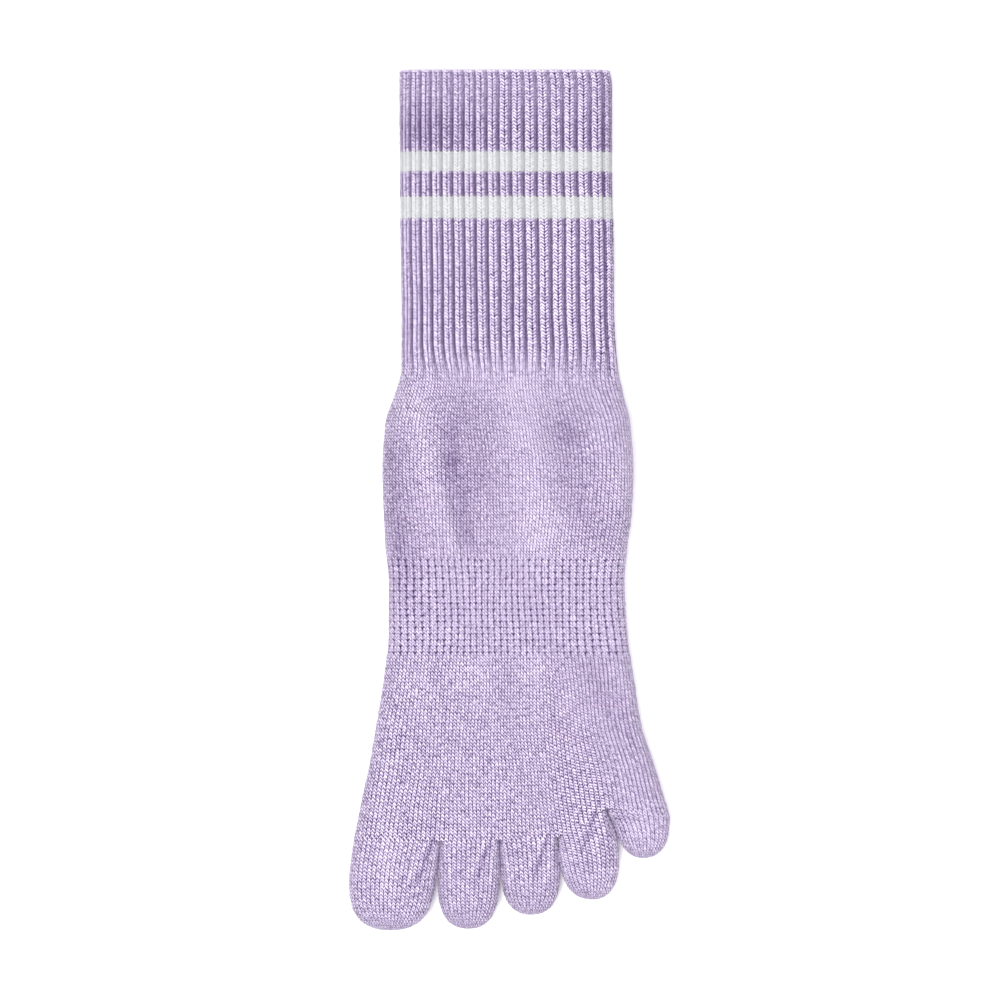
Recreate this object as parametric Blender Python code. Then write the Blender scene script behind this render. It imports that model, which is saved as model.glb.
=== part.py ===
"""Left toe sock lying on its sole: a ribbed leg with two stripes, a plain ankle over the flattened heel
pouch, an openwork band round the arch, a plain foot and five toe pockets, each a hollow knitted wall.

Metres, +Z up. X runs across the foot with the big toe at -X, and +Y runs up the leg. The origin is the
middle of the sock's underside.
"""

import math
from collections import namedtuple

import bmesh
import bpy
import numpy as np

# Knitted lengths, from the cuff's edge down to the roots of the toes
WELT_LENGTH = 0.0148
CUFF_LENGTH = 0.0156
STRIPE_UPPER_LENGTH = 0.0078
STRIPE_GAP_LENGTH = 0.0090
STRIPE_LOWER_LENGTH = 0.0086
LEG_LENGTH = 0.0622
ANKLE_LENGTH = 0.0645
ARCH_LENGTH = 0.0368
FOOT_LENGTH = 0.0696
BIG_TOE_LENGTH = 0.0344
LITTLE_TOE_SETBACK = 0.0124

# Widths and heights of the tube as it lies
CUFF_WIDTH = 0.0800
LEG_WIDTH = 0.0804
HEEL_WIDTH = 0.0938
ARCH_WIDTH = 0.0885
BALL_WIDTH = 0.1174
LEG_HEIGHT = 0.0120
HEEL_HEIGHT = 0.0210
ARCH_HEIGHT = 0.0140
BALL_HEIGHT = 0.0142

# The knitted wall and the gap between two pieces
WALL = 0.0015
GAP = 0.0003

# Ribs round the leg
RIBS = 36
RIB_DEPTH = 0.0010
WELT_RIB_DEPTH = 0.0006
RIB_FADE = 0.0080
RIB_CROWDING = 0.16  # how much closer than the mean the ribs stand at the big-toe side
RIB_PHASES = ((0.0, 1.0), (0.3, 0.0), (0.7, 0.0))  # place in the rib, share of the groove's depth

# How the tube lies: all are shares
WIDEST = 0.45  # of the height, where the tube is widest
SIDE_ROUND = 0.5  # of the height, how far in the sides are round
CROWN = 0.10  # of the upper half's height, lost from the middle to the sides
TOE_CROWN = 0.05  # the same on a toe
TOE_ROOT_ROUND = 0.22  # of the height, how far in a toe's side is round beside its neighbour's root
TOE_FULL_ROUND = 0.55  # of the height, the same half way along the toe

# Columns of points between the side, the four toe roots and the other side, and down a side's quarter
SPANS = (4, 3, 3, 3, 3)
SIDE_STEPS = 3
TOE_SPANS = (4,)
TOE_SIDE_STEPS = 4
RIB_LOOP_SPANS = (40,)  # of the fine loop that the ribs are spaced along
RIB_LOOP_SIDE_STEPS = 12

LAVENDER = (0.565, 0.474, 0.665)
WHITE = (0.760, 0.770, 0.790)
YARN_ROUGHNESS = 0.9

# A zone's sections include both its ends
Zone = namedtuple("Zone", "name length sections rib_depth yarn")
ZONES = (
    Zone("welt", WELT_LENGTH, 2, WELT_RIB_DEPTH, "lavender_yarn"),
    Zone("cuff", CUFF_LENGTH, 2, RIB_DEPTH, "lavender_yarn"),
    Zone("stripe_upper", STRIPE_UPPER_LENGTH, 2, RIB_DEPTH, "white_yarn"),
    Zone("stripe_gap", STRIPE_GAP_LENGTH, 2, RIB_DEPTH, "lavender_yarn"),
    Zone("stripe_lower", STRIPE_LOWER_LENGTH, 2, RIB_DEPTH, "white_yarn"),
    Zone("leg", LEG_LENGTH, 4, RIB_DEPTH, "lavender_yarn"),
    Zone("ankle", ANKLE_LENGTH, 9, 0.0, "lavender_yarn"),
    Zone("arch_band", ARCH_LENGTH, 4, 0.0, "lavender_yarn"),
    Zone("foot", FOOT_LENGTH, 7, 0.0, "lavender_yarn"),
)

# Sections down the sock. along is a share of the zone's length, left and right are each side's distance
# from the centre line as a share of half the width, and rise is a share of the height
Section = namedtuple("Section", "zone along width left right height rise")
SECTIONS = (
    Section("welt", 0.00, CUFF_WIDTH, 1.01, 0.96, LEG_HEIGHT, 0.86),
    Section("welt", 0.40, CUFF_WIDTH, 1.01, 0.98, LEG_HEIGHT, 0.90),
    Section("stripe_gap", 0.00, CUFF_WIDTH, 1.005, 0.98, LEG_HEIGHT, 0.98),
    Section("leg", 0.10, LEG_WIDTH, 0.995, 0.99, LEG_HEIGHT, 1.00),
    Section("leg", 0.55, LEG_WIDTH, 0.985, 0.995, LEG_HEIGHT, 1.00),
    Section("leg", 0.90, LEG_WIDTH, 0.985, 1.03, LEG_HEIGHT, 1.06),
    Section("ankle", 0.04, HEEL_WIDTH, 0.89, 0.92, HEEL_HEIGHT, 0.66),
    Section("ankle", 0.22, HEEL_WIDTH, 0.97, 0.98, HEEL_HEIGHT, 0.86),
    Section("ankle", 0.50, HEEL_WIDTH, 0.995, 1.005, HEEL_HEIGHT, 1.00),
    Section("ankle", 0.75, HEEL_WIDTH, 0.985, 0.99, HEEL_HEIGHT, 0.93),
    Section("ankle", 0.95, HEEL_WIDTH, 0.97, 0.955, HEEL_HEIGHT, 0.78),
    Section("arch_band", 0.25, ARCH_WIDTH, 1.005, 0.992, ARCH_HEIGHT, 1.03),
    Section("arch_band", 0.75, ARCH_WIDTH, 1.005, 1.015, ARCH_HEIGHT, 0.98),
    Section("foot", 0.15, BALL_WIDTH, 0.79, 0.81, BALL_HEIGHT, 1.00),
    Section("foot", 0.38, BALL_WIDTH, 0.835, 0.855, BALL_HEIGHT, 1.00),
    Section("foot", 0.60, BALL_WIDTH, 0.88, 0.94, BALL_HEIGHT, 0.98),
    Section("foot", 0.77, BALL_WIDTH, 0.925, 1.00, BALL_HEIGHT, 0.94),
    Section("foot", 0.88, BALL_WIDTH, 0.95, 1.035, BALL_HEIGHT, 0.90),
    Section("foot", 1.00, BALL_WIDTH, 0.98, 1.04, BALL_HEIGHT, 0.84),
)

# The front edge of the foot, through the four crotches. across is a share of the front's width from the
# big-toe side, and setback is a share of LITTLE_TOE_SETBACK
Root = namedtuple("Root", "across setback")
ROOTS = (
    Root(0.000, 0.10),
    Root(0.274, 0.00),
    Root(0.462, 0.03),
    Root(0.645, 0.12),
    Root(0.802, 1.00),
    Root(1.000, 0.78),
)

# Toes from the big one. width is a share of BALL_WIDTH, length of BIG_TOE_LENGTH and height of BALL_HEIGHT,
# lean is how far the toe bends towards +X as a share of its width, and blunt is the power of its outline
Toe = namedtuple("Toe", "name width length height lean blunt")
TOES = (
    Toe("toe_big", 0.276, 1.000, 0.88, -0.086, 5.0),
    Toe("toe_second", 0.198, 0.971, 0.81, -0.034, 5.0),
    Toe("toe_third", 0.189, 0.840, 0.79, 0.045, 4.6),
    Toe("toe_fourth", 0.189, 0.849, 0.78, 0.171, 4.4),
    Toe("toe_little", 0.181, 0.517, 0.70, 0.104, 2.3),
)
TOE_STATIONS = (0.0, 0.22, 0.45, 0.64, 0.80, 0.91, 0.975)
TOE_SETTLE = 0.40  # share of a toe's length over which it takes its own width and height
TOE_TAPER = 0.45  # power that closes a toe's outline at its tip
TOE_PUFF = 0.50  # power that closes its height there
TOE_MOST_ROUND = 0.92  # of half a toe's width, how far in its sides can be round

# Folds of the upper side. across is a share of half the heel's width, along is a share of the zone's
# length, half_width is a share of the heel's width and lift is a share of its height
Fold = namedtuple("Fold", "zone across_top along_top across_end along_end half_width lift")
FOLDS = (
    Fold("ankle", -0.90, 0.40, -0.83, 0.90, 0.045, -0.06),
    Fold("ankle", -0.78, 0.10, -0.53, 0.85, 0.050, 0.08),
    Fold("ankle", -0.42, 0.12, -0.32, 0.85, 0.052, -0.11),
    Fold("ankle", 0.07, 0.10, 0.24, 0.85, 0.080, 0.10),
    Fold("ankle", 0.44, 0.22, 0.57, 0.82, 0.065, -0.08),
    Fold("foot", -0.05, 0.10, 0.04, 0.42, 0.060, -0.03),
    Fold("foot", 0.62, 0.06, 0.90, 0.40, 0.070, -0.03),
)
FOLD_FADE = 0.2  # share of a fold's length over which each of its ends dies away


def zone_start(name):
    """Distance from the cuff's edge down to where the zone starts."""
    start = 0.0
    for zone in ZONES:
        if zone.name == name:
            return start
        start += zone.length
    raise KeyError(name)


def zone_length(name):
    return next(zone.length for zone in ZONES if zone.name == name)


def smooth_curve(at, knots, values):
    """Cubic through the values that doesn't overshoot between two of them."""
    knots = np.asarray(knots)
    values = np.asarray(values)
    slopes = np.diff(values) / np.diff(knots)
    same_way = slopes[1:] * slopes[:-1] > 0
    total = np.where(same_way, slopes[1:] + slopes[:-1], 1.0)
    inner = np.where(same_way, 2 * slopes[1:] * slopes[:-1] / total, 0.0)
    tangents = np.concatenate([slopes[:1], inner, slopes[-1:]])
    place = np.clip(np.searchsorted(knots, at) - 1, 0, len(knots) - 2)
    step = knots[place + 1] - knots[place]
    t = (at - knots[place]) / step
    start, end = values[place], values[place + 1]
    bend = t * (1 - t) ** 2 * step * tangents[place] - t**2 * (1 - t) * step * tangents[place + 1]
    return start + (end - start) * t**2 * (3 - 2 * t) + bend


SECTION_DOWN = [zone_start(row.zone) + row.along * zone_length(row.zone) for row in SECTIONS]


def left_edge(down):
    return smooth_curve(down, SECTION_DOWN, [-row.left * row.width / 2 for row in SECTIONS])


def right_edge(down):
    return smooth_curve(down, SECTION_DOWN, [row.right * row.width / 2 for row in SECTIONS])


def top_height(down):
    return smooth_curve(down, SECTION_DOWN, [row.rise * row.height for row in SECTIONS])


def front_down(across):
    """How far down the sock the front edge of the foot lies, at a share of its width."""
    end = zone_start("foot") + FOOT_LENGTH
    shares = [root.across for root in ROOTS]
    return end - LITTLE_TOE_SETBACK * np.interp(across, shares, [root.setback for root in ROOTS])


def down_at(zone, along, across):
    """Distance down the sock at a share of the zone's length, less the gap that follows it."""
    start = zone_start(zone.name)
    if zone.name == "foot":
        return start + along * (front_down(across) - start - GAP)
    return start + along * (zone.length - GAP) * np.ones_like(across)


def fold_lift(across, along, zone_name):
    """Height that the folds add at shares of half the heel's width and of the zone's length."""
    lift = np.zeros_like(across)
    for fold in FOLDS:
        if fold.zone != zone_name:
            continue
        t = (along - fold.along_top) / (fold.along_end - fold.along_top)
        centre = fold.across_top + t * (fold.across_end - fold.across_top)
        strength = np.interp(t, (-FOLD_FADE, FOLD_FADE, 1 - FOLD_FADE, 1 + FOLD_FADE), (0, 1, 1, 0))
        distance = (across - centre) / (2 * fold.half_width)
        lift += fold.lift * HEEL_HEIGHT * strength * np.exp(-(distance**2))
    return lift


def flat_tube(left, right, bottom, top, rounds, knots, spans, side_steps, crown=CROWN):
    """Points (x, z) round a flattened tube, from its left edge over the top and back underneath.

    rounds is how far in each side is round, and knots are the columns that it has to have.
    """
    widest = bottom + WIDEST * (top - bottom)
    turn = np.linspace(0, math.pi / 2, side_steps + 1)
    left_side = left + rounds[0] * (1 - np.cos(turn))
    right_side = (right - rounds[1] * (1 - np.cos(turn)))[::-1]
    ends = [left_side[-1], *knots, right_side[0]]
    middle = [
        np.linspace(start, end, span + 1)[1:]
        for start, end, span in zip(ends[:-1], ends[1:], spans, strict=True)
    ]
    x = np.concatenate([left_side, *middle, right_side[1:]])
    bulge = np.ones_like(x)
    bulge[: side_steps + 1] = np.sin(turn)
    bulge[-side_steps - 1 :] = np.sin(turn)[::-1]
    across = (2 * x - left - right) / (right - left)
    upper = widest + (top - widest) * bulge * (1 - crown * across**2)
    lower = widest - (widest - bottom) * bulge
    return np.concatenate([x, x[-2:0:-1]]), np.concatenate([upper, lower[-2:0:-1]])


def plain_ring(zone, along, inset):
    """Ring of points round a plain zone, inset by the wall for its inner side."""
    left = left_edge(down_at(zone, along, 0.0))
    right = right_edge(down_at(zone, along, 1.0))
    top = top_height(down_at(zone, along, 0.5))
    side = SIDE_ROUND * top - inset
    knots = [left + root.across * (right - left) for root in ROOTS[1:-1]]
    x, z = flat_tube(
        left + inset, right - inset, inset, top - inset, (side, side), knots, SPANS, SIDE_STEPS
    )
    share = (x - left) / (right - left)
    down = down_at(zone, along, share)
    above = np.clip((z - WIDEST * top) / (top - WIDEST * top), 0, 1)
    z += above * fold_lift(x / (HEEL_WIDTH / 2), along, zone.name)
    return np.column_stack([x, -down, z])


def rib_depth_at(zone, down):
    """The ribs run out towards the ankle."""
    left_over = zone_start("ankle") + RIB_FADE / 2 - down
    return zone.rib_depth * min(1.0, max(0.0, left_over / RIB_FADE))


def ribbed_ring(zone, along, inset):
    """Ring of points round a ribbed zone: a groove and the two edges of a crest for each rib."""
    down = down_at(zone, along, 0.0)
    left, right, top = left_edge(down), right_edge(down), top_height(down)
    side = SIDE_ROUND * top - inset
    x, z = flat_tube(
        left + inset,
        right - inset,
        inset,
        top - inset,
        (side, side),
        (),
        RIB_LOOP_SPANS,
        RIB_LOOP_SIDE_STEPS,
    )
    loop = np.column_stack([np.append(x, x[0]), np.append(z, z[0])])
    steps = np.linalg.norm(np.diff(loop, axis=0), axis=1)
    walked = np.concatenate([[0], np.cumsum(steps)]) / steps.sum()
    ribs = np.arange(RIBS)[:, None]
    places = ((ribs + [phase for phase, _ in RIB_PHASES]) / RIBS).ravel()
    grooves = np.tile([depth for _, depth in RIB_PHASES], RIBS)
    places -= RIB_CROWDING / (2 * math.pi) * np.sin(2 * math.pi * places)

    def on_loop(share):
        share = share % 1.0
        return np.column_stack([np.interp(share, walked, loop[:, axis]) for axis in (0, 1)])

    quarter_rib = 0.25 / RIBS
    ahead = on_loop(places + quarter_rib) - on_loop(places - quarter_rib)
    ahead /= np.linalg.norm(ahead, axis=1, keepdims=True)
    inward = np.column_stack([ahead[:, 1], -ahead[:, 0]])
    points = on_loop(places) + inward * (grooves * rib_depth_at(zone, down))[:, None]
    return np.column_stack([points[:, 0], np.full(len(points), -down), points[:, 1]])


def toe_ring(toe, root, along, inset):
    """Ring of points round a toe, at a share of its length."""
    left_root, right_root, round_left, round_right = root
    settle = min(1.0, along / TOE_SETTLE)
    ease = settle * settle * (3 - 2 * settle)
    taper = (1 - along**toe.blunt) ** TOE_TAPER
    root_middle = (left_root + right_root) / 2
    full_width = toe.width * BALL_WIDTH
    own_width = right_root - left_root + ease * (full_width - right_root + left_root)
    half = (own_width / 2 - inset) * taper
    middle = root_middle + toe.lean * full_width * (1 - (1 - along) ** 2)
    foot_top = top_height(front_down(0.5)) * (1 - CROWN * (1 - WIDEST) * across_front(root_middle) ** 2)
    height = foot_top + ease * (toe.height * BALL_HEIGHT - foot_top)
    puff = (1 - along**toe.blunt) ** TOE_PUFF
    widest = WIDEST * height
    top = widest + (height - widest - inset) * puff
    bottom = widest - (widest - inset) * puff
    full = TOE_FULL_ROUND * height
    most = TOE_MOST_ROUND * half
    rounds = [min(most, own + ease * (full - own) - inset) for own in (round_left, round_right)]
    x, z = flat_tube(
        middle - half, middle + half, bottom, top, rounds, (), TOE_SPANS, TOE_SIDE_STEPS, TOE_CROWN
    )
    tip = front_down(share_front(root_middle)) + toe.length * BIG_TOE_LENGTH - inset
    down = (1 - along) * front_down(share_front(x)) + along * tip
    return np.column_stack([x, -down, z])


def front_edges():
    return left_edge(front_down(0.0)), right_edge(front_down(1.0))


def share_front(x):
    left, right = front_edges()
    return (x - left) / (right - left)


def across_front(x):
    return 2 * share_front(x) - 1


def toe_root(number):
    """The edges of a toe's root, and how far in each of its sides is round there."""
    left, right = front_edges()
    front_top = top_height(front_down(0.5))
    outer, inner = SIDE_ROUND * front_top, TOE_ROOT_ROUND * front_top
    left_root = left + ROOTS[number].across * (right - left)
    right_root = left + ROOTS[number + 1].across * (right - left)
    first, last = number == 0, number == len(TOES) - 1
    return (
        left_root + (0 if first else GAP / 2),
        right_root - (0 if last else GAP / 2),
        outer if first else inner,
        outer if last else inner,
    )


def toe_tip(toe, root, inset):
    """The one point at a toe's tip."""
    root_middle = (root[0] + root[1]) / 2
    middle = root_middle + toe.lean * toe.width * BALL_WIDTH
    down = front_down(share_front(root_middle)) + toe.length * BIG_TOE_LENGTH - inset
    return np.array([[middle, -down, WIDEST * toe.height * BALL_HEIGHT]])


def bridge(bm, first, second):
    """Faces between two rings, or between a ring and the point that closes it."""
    for i, corner in enumerate(first):
        following = first[(i + 1) % len(first)]
        if len(second) == 1:
            bm.faces.new((corner, following, second[0]))
        else:
            bm.faces.new((corner, following, second[(i + 1) % len(first)], second[i]))


def knitted_wall(name, outer, inner, material, collection):
    """A wall between two runs of rings, open at its first ring, and at its last unless that is a point."""
    bm = bmesh.new()
    outer = [[bm.verts.new(point) for point in ring] for ring in outer]
    inner = [[bm.verts.new(point) for point in ring] for ring in inner]
    for rings in (outer, inner):
        for first, second in zip(rings, rings[1:]):
            bridge(bm, first, second)
    bridge(bm, outer[0], inner[0])
    if len(outer[-1]) > 1:
        bridge(bm, outer[-1], inner[-1])
    bmesh.ops.recalc_face_normals(bm, faces=bm.faces)
    mesh = bpy.data.meshes.new(name)
    bm.to_mesh(mesh)
    bm.free()
    mesh.shade_smooth()
    mesh.set_sharp_from_angle(angle=math.radians(35))
    mesh.materials.append(material)
    piece = bpy.data.objects.new(name, mesh)
    collection.objects.link(piece)
    return piece


def yarn(name, colour):
    material = bpy.data.materials.new(name)
    material.use_nodes = True
    shader = material.node_tree.nodes["Principled BSDF"]
    shader.inputs["Base Color"].default_value = (*colour, 1.0)
    shader.inputs["Roughness"].default_value = YARN_ROUGHNESS
    shader.inputs["Metallic"].default_value = 0.0
    return material


def make_zone(zone, material, collection):
    ring = ribbed_ring if zone.rib_depth else plain_ring
    stations = np.linspace(0, 1, zone.sections)
    outer = [ring(zone, along, 0.0) for along in stations]
    inner = [ring(zone, along, WALL) for along in stations]
    return knitted_wall(zone.name, outer, inner, material, collection)


def make_toe(number, toe, material, collection):
    root = toe_root(number)
    outer = [toe_ring(toe, root, along, 0.0) for along in TOE_STATIONS]
    inner = [toe_ring(toe, root, along, WALL) for along in TOE_STATIONS]
    outer.append(toe_tip(toe, root, 0.0))
    inner.append(toe_tip(toe, root, WALL))
    return knitted_wall(toe.name, outer, inner, material, collection)


def stand_on_origin(pieces):
    """Moves the pieces so that the origin is the middle of the underside of them all."""
    corners = np.array([vertex.co for piece in pieces for vertex in piece.data.vertices])
    low, high = corners.min(axis=0), corners.max(axis=0)
    middle = ((low[0] + high[0]) / 2, (low[1] + high[1]) / 2, low[2])
    for piece in pieces:
        for vertex in piece.data.vertices:
            vertex.co = [value - offset for value, offset in zip(vertex.co, middle)]


def main():
    for old in list(bpy.data.objects):
        bpy.data.objects.remove(old, do_unlink=True)
    collection = bpy.data.collections.new("toe_sock")
    bpy.context.scene.collection.children.link(collection)
    yarns = {"lavender_yarn": yarn("lavender_yarn", LAVENDER), "white_yarn": yarn("white_yarn", WHITE)}
    pieces = [make_zone(zone, yarns[zone.yarn], collection) for zone in ZONES]
    pieces += [
        make_toe(number, toe, yarns["lavender_yarn"], collection) for number, toe in enumerate(TOES)
    ]
    stand_on_origin(pieces)


main()
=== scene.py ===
"""The looks of the toe sock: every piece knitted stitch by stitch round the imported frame, on a pale floor.

Metres, in the frame's own axes: big toe at -X, cuff at +Y, +Z up. The knit runs in wales, the columns of
stitches up the sock, and in courses, the rows round it.
"""

import math
from collections import namedtuple

import bpy
import numpy as np
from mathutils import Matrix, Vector


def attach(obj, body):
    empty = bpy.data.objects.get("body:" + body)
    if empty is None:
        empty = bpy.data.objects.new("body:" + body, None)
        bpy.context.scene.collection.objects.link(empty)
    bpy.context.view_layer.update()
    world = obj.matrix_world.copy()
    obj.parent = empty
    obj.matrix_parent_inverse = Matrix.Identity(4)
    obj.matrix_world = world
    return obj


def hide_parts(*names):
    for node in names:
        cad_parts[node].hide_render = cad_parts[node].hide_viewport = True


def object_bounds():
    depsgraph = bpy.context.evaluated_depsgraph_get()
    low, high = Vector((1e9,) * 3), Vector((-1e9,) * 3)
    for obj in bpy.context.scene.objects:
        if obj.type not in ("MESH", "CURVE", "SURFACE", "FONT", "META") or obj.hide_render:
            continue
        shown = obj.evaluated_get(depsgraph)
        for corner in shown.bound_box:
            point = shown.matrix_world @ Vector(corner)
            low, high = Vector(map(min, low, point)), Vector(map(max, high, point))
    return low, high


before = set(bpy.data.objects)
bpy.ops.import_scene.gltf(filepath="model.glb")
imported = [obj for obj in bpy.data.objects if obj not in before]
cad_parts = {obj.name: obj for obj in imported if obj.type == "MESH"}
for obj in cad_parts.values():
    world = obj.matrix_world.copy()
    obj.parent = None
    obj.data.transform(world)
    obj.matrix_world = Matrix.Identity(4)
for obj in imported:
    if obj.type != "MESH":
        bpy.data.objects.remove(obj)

cad_box = [list(corner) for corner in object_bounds()]

# Lengths down the sock, and widths and heights of the tube as it lies
LITTLE_TOE_SETBACK = 0.0124
BIG_TOE_LENGTH = 0.0344
CUFF_WIDTH = 0.0800
LEG_WIDTH = 0.0804
HEEL_WIDTH = 0.0938
ARCH_WIDTH = 0.0885
BALL_WIDTH = 0.1174
LEG_HEIGHT = 0.0120
HEEL_HEIGHT = 0.0210
ARCH_HEIGHT = 0.0140
BALL_HEIGHT = 0.0142
WALL = 0.0015

# How the tube lies: all are shares
WIDEST = 0.45  # of the height, where the tube is widest
SIDE_ROUND = 0.5  # of the height, how far in the sides are round
CROWN = 0.10  # of the upper half's height, lost from the middle to the sides
TOE_CROWN = 0.05
TOE_ROOT_ROUND = 0.22
TOE_FULL_ROUND = 0.55
LOOP_SPAN = 60
LOOP_SIDE_STEPS = 14

# The knit
RIBS = 38
WALES_IN_RIB = 4  # two knitted, which stand up, and two purled, which sink between the ribs
WALES = RIBS * WALES_IN_RIB
ROWS_IN_COURSE = 2
PLAIN_WALE = 0.0014
INNER_ROW_STEP = 4  # rows of the outer side to one row of the inner side
INNER_SHADE = 0.5

# Shares of a stitch's width: where its two legs meet, and where its points stand on the upper and under side
STITCH_MIDDLE = 0.32
UPPER_PARTS = (0.0, 0.12, 0.22, 0.32, 0.54, 0.78)
UNDER_PARTS = (0.0, 0.16, 0.32, 0.66)

# The wales stand closer together at the left edge of the ribs than at the right, and in the middle of the
# plain knit than at its sides
RIB_CROWDING = 0.16
CROWDING_FADE = 0.0500
CROWDING_FADE_END = 0.0350  # past the end of the leg
PLAIN_CROWDING = 0.12

# Across a rib, in shares of its pitch: each wale's start and middle, then how deep the knit sinks, as a share
# of the rib's depth, and how pale it is painted: a painted highlight along each rib's left flank and painted
# shade down its right flank into the groove
RIB_MARKS = (0.0, 0.13, 0.42, 0.66, 0.75, 0.80, 0.88, 0.93, 1.0)
RIB_PHASES = (0.0, 0.04, 0.11, 0.20, 0.60, 0.70, 0.80, 0.92, 0.97, 1.0)
RIB_SINKS = (0.35, 0.05, 0.0, 0.0, 0.05, 0.25, 0.60, 0.90, 0.75, 0.35)
RIB_SHADES = (0.85, 1.25, 1.25, 1.05, 1.0, 0.72, 0.58, 0.32, 0.42, 0.85)
RIB_FULL_DEPTH = 0.0013
RIB_FADE = 0.0200
RIB_FADE_END = 0.0030  # past the end of the leg

# Across a stitch, at its own middle row and where it meets the next course
V_DROP = 0.85  # courses, how far a stitch's outer edges stand below its middle
STITCH_RELIEF = 0.00036
LEG_ROUND = 0.7  # below 1, the legs of a stitch are fuller than a sine
Profile = namedtuple("Profile", "valley middle crest")
STITCH_HEIGHT = Profile(0.25, 0.60, 1.0)
GAP_HEIGHT = Profile(0.0, 0.30, 0.45)
# Painted shade and highlight: the valleys between wales and the gaps between courses are painted dark,
# darkest where they cross, and the crests of the legs are painted pale
STITCH_SHADE = Profile(0.46, 1.02, 1.18)
GAP_SHADE = Profile(-0.20, 0.22, 0.28)
UNEVEN = 0.20  # how much the height of one stitch differs from the next
MOTTLE = 0.04  # how much the shade of one stitch differs from the next
PLAIN_CONTRAST = 0.20  # how much more the shade varies in the plain knit than in the ribs
MIDDLE_SHADE = 0.62
GRAIN = 0.17  # how much the shade differs from one point to the next
STAGGER = 0.12  # courses, how far a stitch strays along its wale
STAGGER_LIMIT = 1.5  # times as far, at the most
WANDER = 0.30  # wales, how far the wales stray sideways
RIB_STEADINESS = 0.7  # how much less they stray in the ribs
Wave = namedtuple("Wave", "length turns start")
WANDER_WAVES = (Wave(0.0071, 5, 0), Wave(0.0113, -7, 2))

Zone = namedtuple("Zone", "name length courses rib_depth relief slot")
ZONES = (
    Zone("welt", 0.0148, 13, 0.0007, 0.8, "lavender_yarn"),
    Zone("cuff", 0.0156, 13, 0.0013, 0.9, "lavender_yarn"),
    Zone("stripe_upper", 0.0078, 7, 0.0012, 0.6, "white_yarn"),
    Zone("stripe_gap", 0.0090, 8, 0.0013, 0.9, "lavender_yarn"),
    Zone("stripe_lower", 0.0086, 7, 0.0012, 0.6, "white_yarn"),
    Zone("leg", 0.0622, 53, 0.0013, 0.9, "lavender_yarn"),
    Zone("ankle", 0.0645, 57, 0.0013, 0.9, "lavender_yarn"),
    Zone("arch_band", 0.0368, 32, 0.0, 0.8, "lavender_yarn"),
    Zone("foot", 0.0696, 55, 0.0, 1.0, "lavender_yarn"),
)
COURSES = sum(zone.courses for zone in ZONES)
SOCK_LENGTH = sum(zone.length for zone in ZONES)

# Shares: how far down its zone a section lies, how far out its left and right edges are, in halves of the
# width, and how high its top is, in heights
Section = namedtuple("Section", "zone along width left right height rise")
SECTIONS = (
    Section("welt", 0.00, CUFF_WIDTH, 1.01, 0.96, LEG_HEIGHT, 0.86),
    Section("welt", 0.40, CUFF_WIDTH, 1.01, 0.98, LEG_HEIGHT, 0.90),
    Section("stripe_gap", 0.00, CUFF_WIDTH, 1.005, 0.98, LEG_HEIGHT, 0.98),
    Section("leg", 0.10, LEG_WIDTH, 0.995, 0.99, LEG_HEIGHT, 1.00),
    Section("leg", 0.55, LEG_WIDTH, 0.985, 0.995, LEG_HEIGHT, 1.00),
    Section("leg", 0.90, LEG_WIDTH, 0.985, 1.03, LEG_HEIGHT, 1.06),
    Section("ankle", 0.04, HEEL_WIDTH, 0.89, 0.92, HEEL_HEIGHT, 0.66),
    Section("ankle", 0.22, HEEL_WIDTH, 0.97, 0.98, HEEL_HEIGHT, 0.86),
    Section("ankle", 0.50, HEEL_WIDTH, 0.995, 1.005, HEEL_HEIGHT, 1.00),
    Section("ankle", 0.75, HEEL_WIDTH, 0.985, 0.99, HEEL_HEIGHT, 0.93),
    Section("ankle", 0.95, HEEL_WIDTH, 0.97, 0.955, HEEL_HEIGHT, 0.78),
    Section("arch_band", 0.25, ARCH_WIDTH, 1.005, 0.992, ARCH_HEIGHT, 1.03),
    Section("arch_band", 0.75, ARCH_WIDTH, 1.005, 1.015, ARCH_HEIGHT, 0.98),
    Section("foot", 0.15, BALL_WIDTH, 0.79, 0.81, BALL_HEIGHT, 1.00),
    Section("foot", 0.38, BALL_WIDTH, 0.835, 0.855, BALL_HEIGHT, 1.00),
    Section("foot", 0.60, BALL_WIDTH, 0.88, 0.94, BALL_HEIGHT, 0.98),
    Section("foot", 0.77, BALL_WIDTH, 0.925, 1.00, BALL_HEIGHT, 0.94),
    Section("foot", 0.88, BALL_WIDTH, 0.95, 1.035, BALL_HEIGHT, 0.90),
    Section("foot", 1.00, BALL_WIDTH, 0.98, 1.04, BALL_HEIGHT, 0.84),
)

# Where the toes' roots meet along the front edge, in shares of its width, and how far back the edge lies
# there, in shares of the little toe's setback
Root = namedtuple("Root", "across setback")
ROOTS = (
    Root(0.000, 0.10),
    Root(0.274, 0.00),
    Root(0.462, 0.03),
    Root(0.645, 0.12),
    Root(0.802, 1.00),
    Root(1.000, 0.78),
)

# Width and height in shares of the ball's, length in shares of the big toe's, and lean in shares of the
# toe's own width. The blunter a toe, the later its tip closes
Toe = namedtuple("Toe", "name width length height lean blunt wales courses")
TOES = (
    Toe("toe_big", 0.276, 1.000, 0.88, -0.086, 5.0, 46, 32),
    Toe("toe_second", 0.198, 0.971, 0.81, -0.034, 5.0, 34, 31),
    Toe("toe_third", 0.189, 0.840, 0.79, 0.045, 4.6, 33, 27),
    Toe("toe_fourth", 0.189, 0.849, 0.78, 0.171, 4.4, 33, 27),
    Toe("toe_little", 0.181, 0.517, 0.70, 0.104, 2.3, 31, 18),
)
TOE_OVERLAP = 0.4  # rows, how far the knit of a toe reaches in under the foot's
TOE_SETTLE = 0.40  # of its length, after which a toe has left the foot's section for its own
TOE_TAPER = 0.45  # how roundly the sides close at the tip, and the height with the next
TOE_PUFF = 0.50
TOE_MOST_ROUND = 0.92  # of half the width
TOE_STATIONS = 240
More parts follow.
